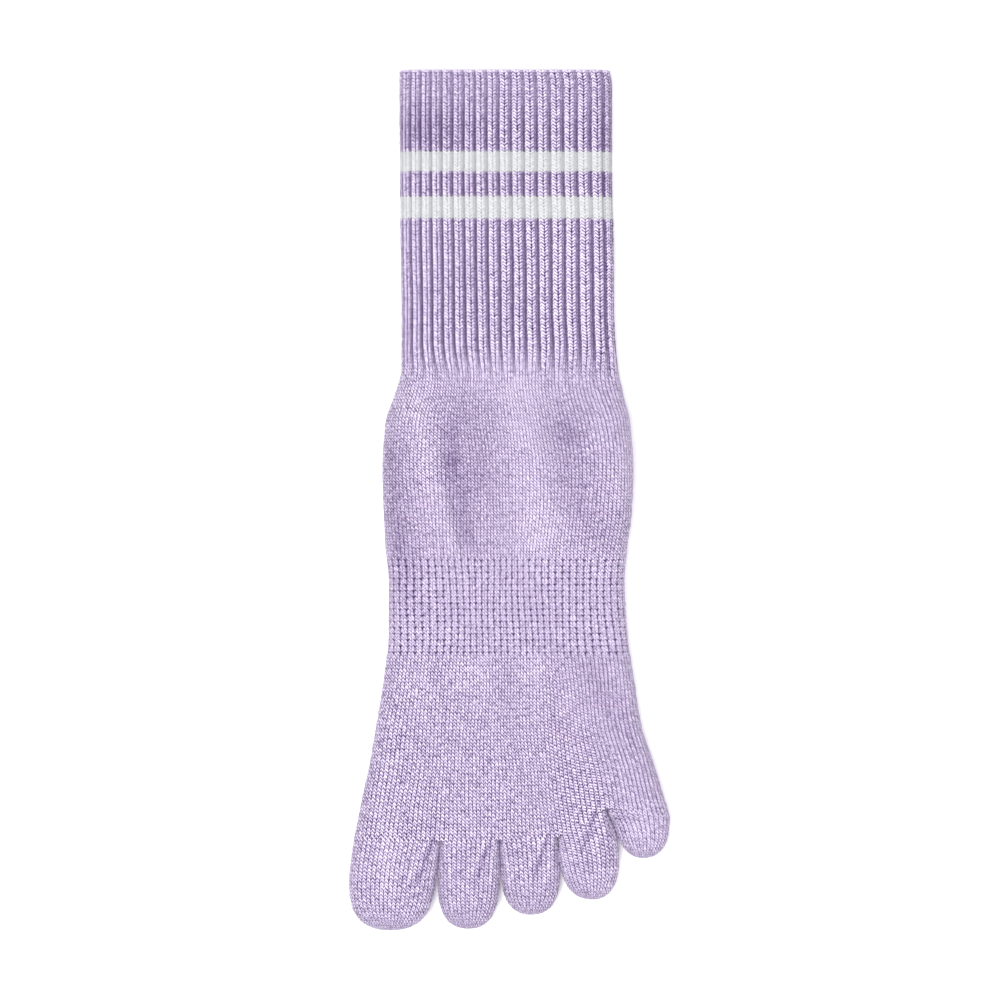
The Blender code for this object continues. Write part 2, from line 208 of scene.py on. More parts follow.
TOE_LAST_STATION = 0.985  # just short of the tip

# Folds of the upper side. Each runs through its points, and its lift is upwards. Its last value is painted
# light and shade: each ridge is painted paler and each valley darker
Fold = namedtuple("Fold", "points half_width lift tone")
FOLDS = (
    Fold(((-0.0370, 0.0400), (-0.0300, 0.0080), (-0.0205, -0.0205)), 0.0042, 0.0018, 0.12),
    Fold(((-0.0440, 0.0230), (-0.0425, 0.0000), (-0.0400, -0.0240)), 0.0048, -0.0010, -0.22),
    Fold(
        ((-0.0215, 0.0290), (-0.0222, 0.0160), (-0.0200, 0.0020), (-0.0145, -0.0190)),
        0.0040,
        -0.0024,
        -0.17,
    ),
    Fold(((0.0035, 0.0480), (0.0078, 0.0120), (0.0125, -0.0200)), 0.0080, 0.0026, 0.13),
    Fold(((0.0200, 0.0330), (0.0240, 0.0130), (0.0285, -0.0080)), 0.0085, -0.0018, -0.13),
    Fold(((-0.0022, -0.0580), (0.0000, -0.0760), (0.0022, -0.0890)), 0.0036, -0.0006, -0.07),
    Fold(((0.0270, -0.0580), (0.0335, -0.0680), (0.0440, -0.0900)), 0.0045, -0.0007, -0.10),
)
FOLD_FADE = 0.007
SIDE_FADE = 3  # how soon the painted light and shade of the folds, gathers and patches set in above the sock's widest line

# Gathers where two toes part: painted light and shade, in pale and dark wales drawn in to the crotch, each so
# far beside it, and above it
CROTCHES = ((-0.0255, -0.1270), (-0.0035, -0.1266), (0.0178, -0.1255), (0.0361, -0.1148))
Gather = namedtuple("Gather", "beside above tone")
GATHERS = (
    Gather(-0.0016, 0.0, 0.30),
    Gather(-0.0034, -0.0012, -0.32),
    Gather(-0.0050, -0.0026, 0.22),
    Gather(0.0014, 0.0040, 0.26),
)
GATHER_SPREAD = 3  # how much further beside the crotch a gather ends
GATHER_LENGTH = 0.0200
GATHER_REACH = 0.0045  # above the crotch
GATHER_HALF_WIDTH = 0.0006

# Broad patches of painted light and shade, where the cloth is painted paler or darker
Patch = namedtuple("Patch", "x y half_length half_width tone")
PATCHES = (
    Patch(-0.0309, 0.1389, 0.0080, 0.0160, -0.22),
    Patch(0.0385, 0.1300, 0.0320, 0.0040, -0.30),
    Patch(-0.0320, 0.0950, 0.0250, 0.0120, 0.05),
    Patch(0.0200, 0.0880, 0.0320, 0.0130, 0.10),
    Patch(0.0400, 0.0720, 0.0420, 0.0032, 0.06),
    Patch(-0.0060, 0.0520, 0.0100, 0.0220, 0.12),
    Patch(-0.0347, 0.0377, 0.0080, 0.0040, 0.12),
    Patch(0.0040, 0.0377, 0.0110, 0.0065, 0.10),
    Patch(-0.0195, 0.0330, 0.0080, 0.0080, -0.10),
    Patch(-0.0217, 0.0144, 0.0040, 0.0040, -0.16),
    Patch(-0.0120, 0.0120, 0.0200, 0.0095, -0.15),
    Patch(0.0210, 0.0250, 0.0080, 0.0060, -0.10),
    Patch(0.0340, -0.0120, 0.0060, 0.0080, -0.14),
    Patch(0.0090, -0.0130, 0.0130, 0.0085, 0.12),
    Patch(-0.0380, -0.0300, 0.0110, 0.0050, -0.10),
    Patch(0.0000, -0.1050, 0.0700, 0.0800, -0.03),
    Patch(0.0420, 0.0084, 0.0100, 0.0040, 0.10),
    Patch(-0.0347, -0.0692, 0.0080, 0.0045, 0.10),
    Patch(-0.0130, -0.0655, 0.0070, 0.0055, 0.14),
    Patch(0.0085, -0.0655, 0.0080, 0.0045, 0.14),
    Patch(-0.0460, -0.1320, 0.0200, 0.0035, 0.16),
    Patch(0.0355, -0.1440, 0.0080, 0.0060, 0.08),
    Patch(0.0510, -0.1240, 0.0080, 0.0070, 0.12),
)

# The rolled edge of the cuff
EDGE_ROWS = 2  # whose gaps are as full and as pale as this, at the least
EDGE_HEIGHT = 0.5
EDGE_SHADE = 0.6

# The eyelets of the arch band, which are not cut through: each is sunk a little and painted dark, as painted
# shade where the hole would be
EYELET_DEPTH = 0.0006
EYELET_STEP = 2  # wales, and courses, from one eyelet to the next
EYELET_WIDTH = 0.38  # wales
EYELET_HEIGHT = 0.44  # courses
EYELET_SHADE = 1.20
EYELET_REST = 0.03  # how much paler the yarn lies between the eyelets
EYELET_LEAST_SHADE = 0.25

# Linear colours of the yarns along their painted shade, from the darkest painted gap to the palest painted
# crest
LAVENDER_STEPS = (
    (0.00, (0.045, 0.014, 0.098)),
    (0.25, (0.118, 0.077, 0.180)),
    (0.50, (0.278, 0.217, 0.358)),
    (0.75, (0.495, 0.412, 0.597)),
    (1.00, (0.830, 0.735, 0.945)),
)
WHITE_STEPS = (
    (0.00, (0.330, 0.335, 0.360)),
    (0.50, (0.528, 0.530, 0.553)),
    (1.00, (0.655, 0.660, 0.675)),
)

# The yarn's mottling, its fibres and its sheen
FUZZ = 0.05
MOTTLE_SCALE = 2500
MOTTLE_DETAIL = 3
MOTTLE_RANGE = (0.3, 0.7)
FIBRE_SCALE = 9
FIBRE_DETAIL = 4
FIBRE_STRENGTH = 0.35
FIBRE_HEIGHT = 0.0002
YARN_ROUGHNESS = 0.9
YARN_SPECULAR = 0.2
SHEEN = 0.2
SHEEN_ROUGHNESS = 0.6

# The studio and the camera, which looks straight down
FLOOR_HALF = 2.0
FLOOR_GREY = 0.94
FLOOR_GLOW = 0.25
FLOOR_ROUGHNESS = 0.9
SKY = 0.44
Lamp = namedtuple("Lamp", "name place size power")
LAMPS = (Lamp("key", (-0.42, -0.15, 1.6), 0.8, 25), Lamp("fill", (0.9, 0.2, 1.4), 1.2, 9.5))
LENS = 200
SENSOR = 36
FRAME_WIDTH = 0.375
PICTURE_CENTRE = (-0.00356, 0.00019, 0.008)
NEAR_CLIP = 0.05

random = np.random.default_rng(7)


def smooth_step(value):
    value = np.clip(value, 0, 1)
    return value * value * (3 - 2 * value)


def zone_start(name):
    """Distance from the cuff's edge down to where the zone starts."""
    names = [zone.name for zone in ZONES]
    return sum(zone.length for zone in ZONES[: names.index(name)])


def zone_length(name):
    return next(zone.length for zone in ZONES if zone.name == name)


def smooth_curve(at, knots, values):
    """Cubic through the values that doesn't overshoot between two of them."""
    knots = np.asarray(knots)
    values = np.asarray(values)
    slopes = np.diff(values) / np.diff(knots)
    same_way = slopes[1:] * slopes[:-1] > 0
    total = np.where(same_way, slopes[1:] + slopes[:-1], 1.0)
    inner = np.where(same_way, 2 * slopes[1:] * slopes[:-1] / total, 0.0)
    tangents = np.concatenate([slopes[:1], inner, slopes[-1:]])
    place = np.clip(np.searchsorted(knots, at) - 1, 0, len(knots) - 2)
    step = knots[place + 1] - knots[place]
    t = (at - knots[place]) / step
    start, end = values[place], values[place + 1]
    bend = t * (1 - t) ** 2 * step * tangents[place] - t**2 * (1 - t) * step * tangents[place + 1]
    return start + (end - start) * t**2 * (3 - 2 * t) + bend


SECTION_DOWN = [zone_start(row.zone) + row.along * zone_length(row.zone) for row in SECTIONS]


def left_edge(down):
    return smooth_curve(down, SECTION_DOWN, [-row.left * row.width / 2 for row in SECTIONS])


def right_edge(down):
    return smooth_curve(down, SECTION_DOWN, [row.right * row.width / 2 for row in SECTIONS])


def top_height(down):
    return smooth_curve(down, SECTION_DOWN, [row.rise * row.height for row in SECTIONS])


def front_down(across):
    """How far down the sock the front edge of the foot lies, at a share of its width."""
    shares = [root.across for root in ROOTS]
    setbacks = [root.setback for root in ROOTS]
    return SOCK_LENGTH - LITTLE_TOE_SETBACK * np.interp(across, shares, setbacks)


def down_at(zone, along, across):
    """Distance down the sock at a share of the zone's length."""
    start = zone_start(zone.name)
    if zone.name == "foot":
        return start + along * (front_down(across) - start)
    return start + along * zone.length * np.ones_like(across)


def folds_at(points):
    """Height that the folds add at each point, and how much paler or darker the painted light and shade of
    the folds, gathers and patches leave the yarn.
    """
    lift = np.zeros(points.shape[:-1])
    tone = np.ones(points.shape[:-1])
    x, y = points[..., 0], points[..., 1]
    for fold in FOLDS:
        path = np.array(fold.points)
        centre = np.interp(-y, -path[:, 1], path[:, 0])
        ends = np.minimum(path[0, 1] + FOLD_FADE - y, y - path[-1, 1] + FOLD_FADE)
        strength = smooth_step(ends / (2 * FOLD_FADE)) * np.exp(-(((x - centre) / fold.half_width) ** 2))
        lift += fold.lift * strength
        tone += fold.tone * strength
    for crotch_x, crotch_y in CROTCHES:
        down = crotch_y - y
        ends = np.minimum(down + GATHER_REACH, GATHER_LENGTH - down)
        strength = smooth_step(ends / GATHER_REACH)
        for gather in GATHERS:
            sides = (gather.above, gather.beside, GATHER_SPREAD * gather.beside)
            centre = crotch_x + np.interp(down, (-GATHER_REACH, 0, GATHER_LENGTH), sides)
            tone += gather.tone * strength * np.exp(-(((x - centre) / GATHER_HALF_WIDTH) ** 2))
    for patch in PATCHES:
        away = ((x - patch.x) / patch.half_width) ** 2 + ((y - patch.y) / patch.half_length) ** 2
        tone += patch.tone * np.exp(-away)
    return lift, tone


def flat_tube(left, right, bottom, top, rounds, crown=CROWN):
    """Closed fine loop (x, z) round a flattened tube, from its left edge over the top and back underneath."""
    widest = bottom + WIDEST * (top - bottom)
    turn = np.linspace(0, math.pi / 2, LOOP_SIDE_STEPS + 1)
    left_side = left + rounds[0] * (1 - np.cos(turn))
    right_side = (right - rounds[1] * (1 - np.cos(turn)))[::-1]
    middle = np.linspace(left_side[-1], right_side[0], LOOP_SPAN + 1)[1:]
    x = np.concatenate([left_side, middle, right_side[1:]])
    bulge = np.ones_like(x)
    bulge[: LOOP_SIDE_STEPS + 1] = np.sin(turn)
    bulge[-LOOP_SIDE_STEPS - 1 :] = np.sin(turn)[::-1]
    across = (2 * x - left - right) / (right - left)
    upper = widest + (top - widest) * bulge * (1 - crown * across**2)
    lower = widest - (widest - bottom) * bulge
    return np.concatenate([x, x[-2::-1]]), np.concatenate([upper, lower[-2::-1]])


def on_loop(places, x, z):
    """Points at shares of the loop's own length."""
    walked = np.concatenate([[0], np.cumsum(np.hypot(np.diff(x), np.diff(z)))])
    return np.interp(places, walked / walked[-1], x), np.interp(places, walked / walked[-1], z)


def rib_strength(down):
    """The ribs run out towards the ankle."""
    return smooth_step((zone_start("ankle") + RIB_FADE_END - down) / RIB_FADE)


Columns = namedtuple("Columns", "wale part first")


def columns_of(wales):
    """The columns of points of a tube: its wales, each column's place in its own, and each wale's first."""
    parts = [UPPER_PARTS if wale < wales / 2 else UNDER_PARTS for wale in range(wales)]
    counts = [len(part) for part in parts]
    first = np.concatenate([[0], np.cumsum(counts)])
    return Columns(np.repeat(np.arange(wales), counts), np.concatenate(parts), first)


TUBE_COLUMNS = columns_of(WALES)


def column_places(down):
    """Where the columns of points stand, as shares of the loop, and each one's share of its rib's pitch."""
    strength = rib_strength(down[0])
    wale, part, _ = TUBE_COLUMNS
    marks = np.append(np.add.outer(np.arange(WALES_IN_RIB), (0, STITCH_MIDDLE)).ravel(), WALES_IN_RIB)
    plain = marks / WALES_IN_RIB
    phase = np.interp(wale % WALES_IN_RIB + part, marks, plain + strength * (np.array(RIB_MARKS) - plain))
    places = (wale // WALES_IN_RIB + phase) / RIBS
    turns = 2 * math.pi * places
    stray = sum(np.sin(down[0] / wave.length + wave.turns * turns + wave.start) for wave in WANDER_WAVES)
    places = places + WANDER * (1 - RIB_STEADINESS * strength) / 2 * stray / WALES
    to_end = zone_start("ankle") + CROWDING_FADE_END - down[0]
    crowding = RIB_CROWDING * smooth_step(to_end / CROWDING_FADE)
    squeeze = PLAIN_CROWDING * (1 - strength)
    turns = 2 * math.pi * places
    return places - (crowding * np.sin(turns) - squeeze / 2 * np.sin(2 * turns)) / (2 * math.pi), phase


def tube_row(zone, along, inset):
    """One row of points round the tube, on the smooth surface that the stitches stand on."""
    left = left_edge(down_at(zone, along, 0.0))
    right = right_edge(down_at(zone, along, 1.0))
    top = top_height(down_at(zone, along, 0.5))
    side = SIDE_ROUND * top - inset
    loop = flat_tube(left + inset, right - inset, inset, top - inset, (side, side))
    places, _ = column_places(down_at(zone, along, np.zeros(1)))
    x, z = on_loop(places % 1, *loop)
    down = down_at(zone, along, (x - left) / (right - left))
    above = np.clip((z - WIDEST * top) / (top - WIDEST * top), 0, 1)
    return np.column_stack([x, -down, z, above])


def rib_sink(zone, along):
    """How far the columns of a row sink into the grooves between the ribs, and the painted shade and
    highlight across each rib.
    """
    down = down_at(zone, along, np.zeros(1))
    _, phase = column_places(down)
    depth = ribs_deep(down[0])
    shade = 1 + depth / RIB_FULL_DEPTH * (np.interp(phase, RIB_PHASES, RIB_SHADES) - 1)
    return np.column_stack([depth * np.interp(phase, RIB_PHASES, RIB_SINKS), shade])


def ribs_deep(down):
    """Depth of the ribs, which runs from the middle of one zone to the middle of the next."""
    ends = np.cumsum([zone.length for zone in ZONES])
    middles = ends - np.array([zone.length for zone in ZONES]) / 2
    depths = [zone.rib_depth for zone in ZONES]
    return np.interp(down, middles, depths) * rib_strength(down)


def normals_of(points):
    """Outward normals of a grid of rows and closed columns."""
    around = np.roll(points, -1, axis=1) - np.roll(points, 1, axis=1)
    along = np.gradient(points, axis=0)
    normals = np.cross(along, around)
    return normals / np.maximum(np.linalg.norm(normals, axis=2, keepdims=True), 1e-12)


def at_rows(table, rows):
    """Values of a table at fractional rows, one for each point of the grid, also a little past its ends."""
    low = np.clip(np.floor(rows).astype(int), 0, len(table) - 2)
    part = rows - low
    columns = np.arange(table.shape[1])[None, :]
    if table.ndim == 3:
        part = part[..., None]
    return (1 - part) * table[low, columns] + part * table[low + 1, columns]


def v_drop(columns):
    """Rows by which each column's points stand above their own row, so that the stitches are V shapes."""
    edges = np.interp(columns.part, (0, STITCH_MIDDLE, 1), (-0.5, 0.5, -0.5))
    return V_DROP * ROWS_IN_COURSE * edges


def legs(part, profile):
    """A profile across a stitch: two rounded legs between the valleys and the stitch's middle."""
    on_left = part < STITCH_MIDDLE
    along = np.where(on_left, part / STITCH_MIDDLE, (part - STITCH_MIDDLE) / (1 - STITCH_MIDDLE))
    low = np.interp(part, (0, STITCH_MIDDLE, 1), (profile.valley, profile.middle, profile.valley))
    return low + (profile.crest - low) * np.sin(math.pi * along) ** LEG_ROUND


def stitches(rows, columns):
    """Height and shade of each point of a grid of stitches, as shares, and how far its row strays."""
    between = (np.arange(rows) % ROWS_IN_COURSE == 0)[:, None]
    height = np.where(between, legs(columns.part, GAP_HEIGHT), legs(columns.part, STITCH_HEIGHT))
    shade = np.where(between, legs(columns.part, GAP_SHADE), legs(columns.part, STITCH_SHADE))
    courses = np.arange(rows) // ROWS_IN_COURSE
    wales = columns.wale[-1] + 1
    own = random.standard_normal((courses[-1] + 1, wales))[courses][:, columns.wale]
    grain = random.standard_normal((rows, len(columns.wale)))
    strays = random.standard_normal((rows, wales)).clip(-STAGGER_LIMIT, STAGGER_LIMIT)
    strays = STAGGER * ROWS_IN_COURSE * strays
    height = height * (1 + UNEVEN * own)
    shade = shade * (1 + MOTTLE * own) + GRAIN * grain
    return height, shade, strays[:, columns.wale]


def make_mesh(name, points, faces, corners, shades, rims, material):
    """A mesh from faces of 3 or 4 corners, with stitch coordinates in its UV map and shades on its points."""
    mesh = bpy.data.meshes.new(name)
    counts = np.concatenate([np.full(len(block), block.shape[1]) for block in faces])
    loops = np.concatenate([block.ravel() for block in faces])
    mesh.vertices.add(len(points))
    mesh.vertices.foreach_set("co", points.astype(np.float32).ravel())
    mesh.loops.add(len(loops))
    mesh.loops.foreach_set("vertex_index", loops.astype(np.int32))
    mesh.polygons.add(len(counts))
    starts = np.concatenate([[0], np.cumsum(counts)[:-1]])
    mesh.polygons.foreach_set("loop_start", starts.astype(np.int32))
    mesh.update(calc_edges=True)
    uv = mesh.uv_layers.new(name="knit")
    uv.data.foreach_set("uv", np.concatenate(corners).astype(np.float32).ravel())
    shade = mesh.attributes.new("shade", "FLOAT", "POINT")
    shade.data.foreach_set("value", shades.astype(np.float32))
    mesh.shade_smooth()
    ends = np.empty(len(mesh.edges) * 2, np.int32)
    mesh.edges.foreach_get("vertices", ends)
    ends = rims[ends.reshape(-1, 2)]
    sharp = (ends[:, 0] > 0) & (ends[:, 0] == ends[:, 1])
    edge = mesh.attributes.new("sharp_edge", "BOOLEAN", "EDGE")
    edge.data.foreach_set("value", sharp)
    mesh.materials.append(material)
    piece = bpy.data.objects.new(name, mesh)
    bpy.context.scene.collection.objects.link(piece)
    return piece


def grid_faces(rows, across, first, flip):
    """Quads of a grid with closed columns, and each corner's (wale, row) without the wrap."""
    columns = len(across) - 1
    row, column = np.meshgrid(np.arange(rows - 1), np.arange(columns), indexing="ij")
    row, column = row.ravel(), column.ravel()
    corner_rows = np.column_stack([row, row + 1, row + 1, row])
    corner_columns = np.column_stack([column, column, column + 1, column + 1])
    if flip:
        corner_rows, corner_columns = corner_rows[:, ::-1], corner_columns[:, ::-1]
    faces = first + corner_rows * columns + corner_columns % columns
    return faces, np.stack([across[corner_columns.ravel()], corner_rows.ravel()], axis=1)


def rim_faces(columns, across, outer_first, inner_first, row, flip):
    """Triangles from a row of the outer side to the inner side's row, which has one point to a wale."""
    column = np.arange(len(columns.wale))
    following = (column + 1) % len(column)
    wale = np.arange(columns.wale[-1] + 1)
    next_first = columns.first[wale + 1]
    next_wale = (wale + 1) % len(wale)
    fans = np.column_stack([outer_first + column, outer_first + following, inner_first + columns.wale])
    closing = np.column_stack(
        [outer_first + next_first % len(column), inner_first + next_wale, inner_first + wale]
    )
    fan_places = np.column_stack([across[column], across[column + 1], columns.wale])
    closing_places = np.column_stack([across[next_first], wale + 1, wale])
    faces = np.concatenate([fans, closing])
    places = np.concatenate([fan_places, closing_places])
    if flip:
        faces, places = faces[:, ::-1], places[:, ::-1]
    return faces, np.stack([places.ravel(), np.full(places.size, row)], axis=1)


def tip_faces(across, last_first, tip, row, flip):
    """Triangles from a last row to the point that closes it."""
    column = np.arange(len(across) - 1)
    ends = last_first + (column + 1) % len(column)
    faces = np.column_stack([last_first + column, np.full(len(column), tip), ends])
    middle = (across[:-1] + across[1:]) / 2
    places = np.column_stack([across[:-1], middle, across[1:]])
    down = np.tile([row, row + 1, row], (len(column), 1))
    if flip:
        faces, places, down = faces[:, ::-1], places[:, ::-1], down[:, ::-1]
    return faces, np.stack([places.ravel(), down.ravel()], axis=1)


def shell(name, columns, outer, inner, shade, first_course, material, tips=None):
    """A closed knitted wall: a fine outer side, a coarse inner side and the rims that join them."""
    rows, inner_rows = len(outer), len(inner)
    wales = columns.wale[-1] + 1
    across = np.append(columns.wale + columns.part, wales)
    inner_across = np.arange(wales + 1)
    inner_first = rows * len(columns.wale)
    last_outer = (rows - 1) * len(columns.wale)
    last_inner = inner_first + (inner_rows - 1) * wales
    rims = np.zeros(inner_first + inner_rows * wales, int)
    rims[: len(columns.wale)] = 1
    rims[inner_first : inner_first + wales] = 2
    points = [outer.reshape(-1, 3), inner.reshape(-1, 3)]
    shades = [shade.ravel(), np.full(inner_rows * wales, INNER_SHADE)]
    inner_faces, inner_places = grid_faces(inner_rows, inner_across, inner_first, True)
    blocks = [
        grid_faces(rows, across, 0, False),
        (inner_faces, inner_places * (1, (rows - 1) / (inner_rows - 1))),
        rim_faces(columns, across, 0, inner_first, 0, False),
    ]
    if tips is None:
        rims[last_outer:inner_first] = 3
        rims[last_inner:] = 4
        blocks.append(rim_faces(columns, across, last_outer, last_inner, rows - 1, True))
    else:
        tip = len(rims)
        rims = np.append(rims, [0, 0])
        blocks.append(tip_faces(across, last_outer, tip, rows - 1, False))
        blocks.append(tip_faces(inner_across, last_inner, tip + 1, rows - 1, True))
        points.append(np.array(tips))
        shades.append(np.full(2, INNER_SHADE))
    faces = [block for block, _ in blocks]
    corners = [places * (1, -1 / ROWS_IN_COURSE) - (0, first_course) for _, places in blocks]
    return make_mesh(
        name, np.concatenate(points), faces, corners, np.concatenate(shades), rims, material
    )


def tube_tables():
    """The smooth surface, the grooves and the inside, at every row from the cuff to the front."""
    rows, sinks, insides = [], [], []
    for zone in ZONES:
        count = zone.courses * ROWS_IN_COURSE
        last = zone is ZONES[-1]
        for row in range(count + 1 if last else count):
            rows.append(tube_row(zone, row / count, 0.0))
            sinks.append(rib_sink(zone, row / count))
            insides.append(tube_row(zone, row / count, WALL)[TUBE_COLUMNS.first[:-1]])
    return np.array(rows), np.array(sinks), np.array(insides)


def settle(points, shift):
    """Points moved into place and folded, and their painted light and shade.

    Each point's fourth value is how high it lies between the sock's widest line and its top.
    """
    placed = points[..., :3] + shift
    lift, tone = folds_at(placed)
    placed[..., 2] += points[..., 3] * lift
    return placed, 1 + np.minimum(1, SIDE_FADE * points[..., 3]) * (tone - 1)


def centre_shift(points, toe_points):
    """The frame's origin is the middle of the whole sock, so the sock's own axes move to it."""
    low, high = (np.array(corner) for corner in cad_box)
    ends = np.concatenate([points.reshape(-1, 3), toe_points.reshape(-1, 3)])
    middle = (ends.min(axis=0) + ends.max(axis=0)) / 2
    shift = (low + high) / 2 - middle
    shift[2] = 0
    return shift


def front_edges():
    return left_edge(front_down(0.0)), right_edge(front_down(1.0))


def share_front(x):
    left, right = front_edges()
    return (x - left) / (right - left)


def toe_root(number):
    """The edges of a toe's root, and how far in each of its sides is round there."""
    left, right = front_edges()
    front_top = top_height(front_down(0.5))
    outer, inner = SIDE_ROUND * front_top, TOE_ROOT_ROUND * front_top
    first, last = number == 0, number == len(TOES) - 1
    return (
        left + ROOTS[number].across * (right - left),
        left + ROOTS[number + 1].across * (right - left),
        outer if first else inner,
        outer if last else inner,
    )


def toe_row(toe, root, along, inset):
    """One row of points round a toe, at a share of its length."""
    left_root, right_root, round_left, round_right = root
    ease = smooth_step(along / TOE_SETTLE)
    taper = (1 - along**toe.blunt) ** TOE_TAPER
    root_middle = (left_root + right_root) / 2
    full_width = toe.width * BALL_WIDTH
    own_width = right_root - left_root + ease * (full_width - right_root + left_root)
    half = (own_width / 2 - inset) * taper
    middle = root_middle + toe.lean * full_width * (1 - (1 - along) ** 2)
    across_root = 2 * share_front(root_middle) - 1
    foot_top = top_height(front_down(0.5)) * (1 - CROWN * (1 - WIDEST) * across_root**2)
    height = foot_top + ease * (toe.height * BALL_HEIGHT - foot_top)
    puff = (1 - along**toe.blunt) ** TOE_PUFF
    widest = WIDEST * height
    top = widest + (height - widest - inset) * puff
    bottom = widest - (widest - inset) * puff
    full = TOE_FULL_ROUND * height
    most = TOE_MOST_ROUND * half
    rounds = [min(most, own + ease * (full - own) - inset) for own in (round_left, round_right)]
    loop = flat_tube(middle - half, middle + half, bottom, top, rounds, TOE_CROWN)
    columns = columns_of(toe.wales)
    x, z = on_loop((columns.wale + columns.part) / toe.wales, *loop)
    tip = front_down(share_front(root_middle)) + toe.length * BIG_TOE_LENGTH - inset
    down = (1 - along) * front_down(share_front(x)) + along * tip
    above = np.clip((z - widest) / (height - widest), 0, 1)
    return np.column_stack([x, -down, z, above])


def toe_table(toe, root, inset):
    """Rows of a toe's smooth surface, evenly spaced along it up to just short of the tip."""
    stations = 1 - (1 - np.linspace(0, TOE_LAST_STATION, TOE_STATIONS)) ** 2
    fine = np.array([toe_row(toe, root, along, inset) for along in stations])
    steps = np.linalg.norm(np.diff(fine[..., :3], axis=0), axis=2).mean(axis=1)
    walked = np.concatenate([[0], np.cumsum(steps)])
    rows = toe.courses * ROWS_IN_COURSE + 1
    wanted = np.interp(np.linspace(0, walked[-1], rows), walked, np.arange(len(walked)))
    return at_rows(fine, np.repeat(wanted[:, None], fine.shape[1], axis=1))


def toe_tip(toe, root, inset):
    root_middle = (root[0] + root[1]) / 2
    middle = root_middle + toe.lean * toe.width * BALL_WIDTH
    down = front_down(share_front(root_middle)) + toe.length * BIG_TOE_LENGTH - inset
    return np.array([middle, -down, WIDEST * toe.height * BALL_HEIGHT])


def wale_share(points, columns):
    """How wide each wale is, as a share of a plain one, so that the relief shrinks with it at a tip."""
    starts = points[:, columns.first[:-1]]
    widths = np.linalg.norm(np.roll(starts, -1, axis=1) - starts, axis=2)[:, columns.wale]
    return np.clip(widths / PLAIN_WALE, 0, 1)


def colour_node(nodes, links, steps, source):
    ramp = nodes.new("ShaderNodeValToRGB")
    elements = ramp.color_ramp.elements
    while len(elements) < len(steps):
        elements.new(0.5)
    for element, (position, colour) in zip(elements, steps):
        element.position = position
        element.color = (*colour, 1)
    links.new(source, ramp.inputs["Fac"])
    return ramp.outputs["Color"]


def yarn(name, steps):
    """Yarn coloured by the painted shade on its points, dark in its gaps and pale on its crests, mottled,
    with fibres along each stitch.
    """
    material = bpy.data.materials.new(name)
    material.use_nodes = True
    nodes, links = material.node_tree.nodes, material.node_tree.links
    shader = nodes["Principled BSDF"]
    shade = nodes.new("ShaderNodeAttribute")
    shade.attribute_name = "shade"
    place = nodes.new("ShaderNodeTexCoord")
    mottle = nodes.new("ShaderNodeTexNoise")
    mottle.inputs["Scale"].default_value = MOTTLE_SCALE
    mottle.inputs["Detail"].default_value = MOTTLE_DETAIL
    links.new(place.outputs["Object"], mottle.inputs["Vector"])
    spread = nodes.new("ShaderNodeMapRange")
    spread.inputs["From Min"].default_value = MOTTLE_RANGE[0]
    spread.inputs["From Max"].default_value = MOTTLE_RANGE[1]
    spread.inputs["To Min"].default_value = -FUZZ
    spread.inputs["To Max"].default_value = FUZZ
    links.new(mottle.outputs["Fac"], spread.inputs["Value"])
    add = nodes.new("ShaderNodeMath")
    add.operation = "ADD"
    links.new(shade.outputs["Fac"], add.inputs[0])
    links.new(spread.outputs["Result"], add.inputs[1])
    links.new(colour_node(nodes, links, steps, add.outputs["Value"]), shader.inputs["Base Color"])
    fibres = nodes.new("ShaderNodeTexNoise")
    fibres.inputs["Scale"].default_value = FIBRE_SCALE
    fibres.inputs["Detail"].default_value = FIBRE_DETAIL
    stitch_place = nodes.new("ShaderNodeUVMap")
    stitch_place.uv_map = "knit"
    links.new(stitch_place.outputs["UV"], fibres.inputs["Vector"])
    bump = nodes.new("ShaderNodeBump")
    bump.inputs["Strength"].default_value = FIBRE_STRENGTH
    bump.inputs["Distance"].default_value = FIBRE_HEIGHT
    links.new(fibres.outputs["Fac"], bump.inputs["Height"])
    links.new(bump.outputs["Normal"], shader.inputs["Normal"])
    shader.inputs["Roughness"].default_value = YARN_ROUGHNESS
    shader.inputs["Specular IOR Level"].default_value = YARN_SPECULAR
    shader.inputs["Sheen Weight"].default_value = SHEEN
    shader.inputs["Sheen Roughness"].default_value = SHEEN_ROUGHNESS
    return material


def dress(piece, node):
    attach(piece, "root")
    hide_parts(node)


def eyelets(rows):
    """How far each point of the openwork lies inside an eyelet."""
    across = TUBE_COLUMNS.wale + TUBE_COLUMNS.part
    along = np.arange(rows) / ROWS_IN_COURSE
    half = EYELET_STEP / 2
    wales_off = (across + half) % EYELET_STEP - half
    courses_off = (along + half - 1) % EYELET_STEP - half
    away = (wales_off / EYELET_WIDTH) ** 2 + (courses_off[:, None] / EYELET_HEIGHT) ** 2
    return np.exp(-away)


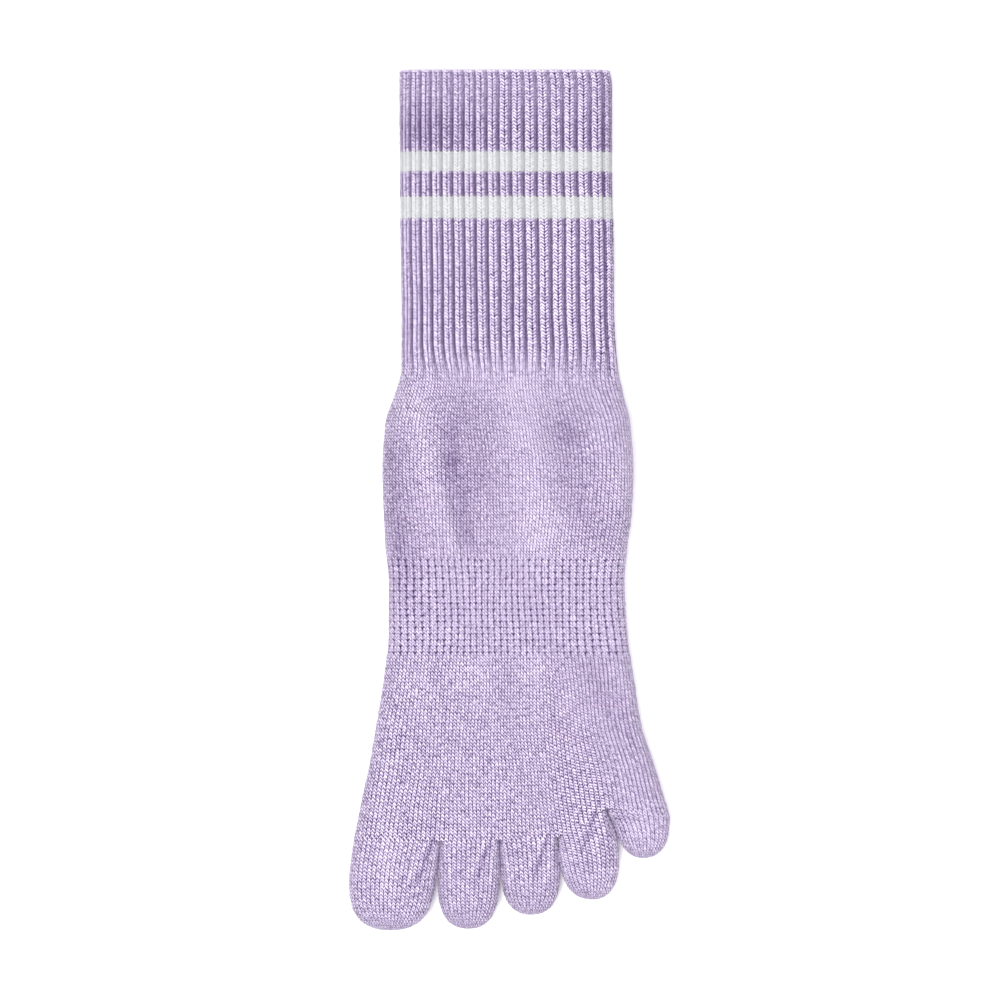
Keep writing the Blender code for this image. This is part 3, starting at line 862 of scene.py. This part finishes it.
def knit_tube(tables, shift, yarns):
    """The pieces from the welt to the foot, each from its first row to the next one's."""
    columns = TUBE_COLUMNS
    smooth, painted_shadings = settle(tables[0], shift)
    insides, _ = settle(tables[2], shift)
    normals = normals_of(smooth)
    downs = -tables[0][:, 0, 1]
    first = 0
    for zone in ZONES:
        count = zone.courses * ROWS_IN_COURSE
        rows = np.arange(first, first + count + 1)
        fade = np.clip(rows / ROWS_IN_COURSE, 0, 1)[:, None]
        height, shade, strays = stitches(len(rows), columns)
        strays[0] = strays[-1] = 0
        if first == 0:
            height[:EDGE_ROWS] = np.maximum(height[:EDGE_ROWS], EDGE_HEIGHT)
            shade[:EDGE_ROWS] = np.maximum(shade[:EDGE_ROWS], EDGE_SHADE)
        places = rows[:, None] - (v_drop(columns) - strays) * fade
        sunk = at_rows(tables[1], places)
        height = height * STITCH_RELIEF * zone.relief - sunk[..., 0]
        contrast = 1 + PLAIN_CONTRAST * (1 - rib_strength(downs[rows]))[:, None]
        shade = MIDDLE_SHADE + (shade - MIDDLE_SHADE) * contrast
        shade = shade * sunk[..., 1] * at_rows(painted_shadings, places)
        if zone.name == "arch_band":
            eyelet = eyelets(len(rows))
            height -= EYELET_DEPTH * eyelet
            shade = np.maximum(shade, EYELET_LEAST_SHADE) + EYELET_REST - EYELET_SHADE * eyelet
        points = at_rows(smooth, places) + at_rows(normals, places) * height[..., None]
        points[..., 2] = np.maximum(points[..., 2], 0)
        inner_rows = np.linspace(0, count, count // INNER_ROW_STEP + 1).round().astype(int) + first
        piece = shell(
            zone.name + "_knit",
            columns,
            points,
            insides[inner_rows],
            shade,
            first / ROWS_IN_COURSE,
            yarns[zone.slot],
        )
        dress(piece, zone.name)
        first += count


def knit_toes(tables, shift, yarns):
    """The toes, each from its root at the foot's front to its closed tip."""
    for number, toe in enumerate(TOES):
        root = toe_root(number)
        columns = columns_of(toe.wales)
        smooth, painted_shadings = settle(tables[number][0], shift)
        inside, _ = settle(tables[number][1][::INNER_ROW_STEP, columns.first[:-1]], shift)
        normals = normals_of(smooth)
        row = np.arange(len(smooth))
        fade = np.clip((row[-1] - row) / ROWS_IN_COURSE, 0, 1)[:, None]
        height, shade, strays = stitches(len(row), columns)
        places = row[:, None] - (v_drop(columns) - strays) * fade
        places[0] -= TOE_OVERLAP
        height = height * STITCH_RELIEF * wale_share(smooth, columns)
        points = at_rows(smooth, places) + at_rows(normals, places) * height[..., None]
        points[..., 2] = np.maximum(points[..., 2], 0)
        shade = shade * at_rows(painted_shadings, places)
        tips = [toe_tip(toe, root, 0.0) + shift, toe_tip(toe, root, WALL) + shift]
        piece = shell(
            toe.name + "_knit", columns, points, inside, shade, COURSES, yarns["lavender_yarn"], tips
        )
        dress(piece, toe.name)


def make_floor():
    mesh = bpy.data.meshes.new("floor")
    signs = ((-1, -1), (1, -1), (1, 1), (-1, 1))
    mesh.from_pydata([(x * FLOOR_HALF, y * FLOOR_HALF, 0) for x, y in signs], [], [(0, 1, 2, 3)])
    material = bpy.data.materials.new("floor_paint")
    material.use_nodes = True
    shader = material.node_tree.nodes["Principled BSDF"]
    shader.inputs["Base Color"].default_value = (FLOOR_GREY, FLOOR_GREY, FLOOR_GREY, 1)
    shader.inputs["Emission Color"].default_value = (1, 1, 1, 1)
    shader.inputs["Emission Strength"].default_value = FLOOR_GLOW
    shader.inputs["Roughness"].default_value = FLOOR_ROUGHNESS
    mesh.materials.append(material)
    floor = bpy.data.objects.new("floor", mesh)
    bpy.context.scene.collection.objects.link(floor)


def area_light(lamp):
    """A round lamp that faces the frame's origin."""
    light = bpy.data.lights.new(lamp.name, "AREA")
    light.shape = "DISK"
    light.size = lamp.size
    light.energy = lamp.power
    holder = bpy.data.objects.new(lamp.name, light)
    bpy.context.scene.collection.objects.link(holder)
    holder.location = lamp.place
    holder.rotation_euler = (-Vector(lamp.place)).to_track_quat("-Z", "Y").to_euler()


def make_light():
    for lamp in LAMPS:
        area_light(lamp)
    world = bpy.data.worlds.new("studio")
    bpy.context.scene.world = world
    world.use_nodes = True
    world.node_tree.nodes["Background"].inputs["Color"].default_value = (1, 1, 1, 1)
    world.node_tree.nodes["Background"].inputs["Strength"].default_value = SKY
    bpy.context.scene.view_settings.view_transform = "Standard"


def make_camera():
    camera = bpy.data.cameras.new("camera")
    camera.lens = LENS
    camera.sensor_width = SENSOR
    camera.clip_start = NEAR_CLIP
    holder = bpy.data.objects.new("camera", camera)
    bpy.context.scene.collection.objects.link(holder)
    x, y, z = PICTURE_CENTRE
    holder.location = (x, y, z + FRAME_WIDTH * LENS / SENSOR)
    bpy.context.scene.camera = holder


def main():
    tube = tube_tables()
    toes = [
        (toe_table(toe, toe_root(number), 0.0), toe_table(toe, toe_root(number), WALL))
        for number, toe in enumerate(TOES)
    ]
    tips = np.array([toe_tip(toe, toe_root(number), 0.0) for number, toe in enumerate(TOES)])
    toe_points = np.concatenate([toe[..., :3].reshape(-1, 3) for toe, _ in toes] + [tips])
    shift = centre_shift(tube[0][..., :3], toe_points)
    yarns = {
        "lavender_yarn": yarn("lavender_yarn_knit", LAVENDER_STEPS),
        "white_yarn": yarn("white_yarn_knit", WHITE_STEPS),
    }
    knit_tube(tube, shift, yarns)
    knit_toes(toes, shift, yarns)
    make_floor()
    make_light()
    make_camera()


main()
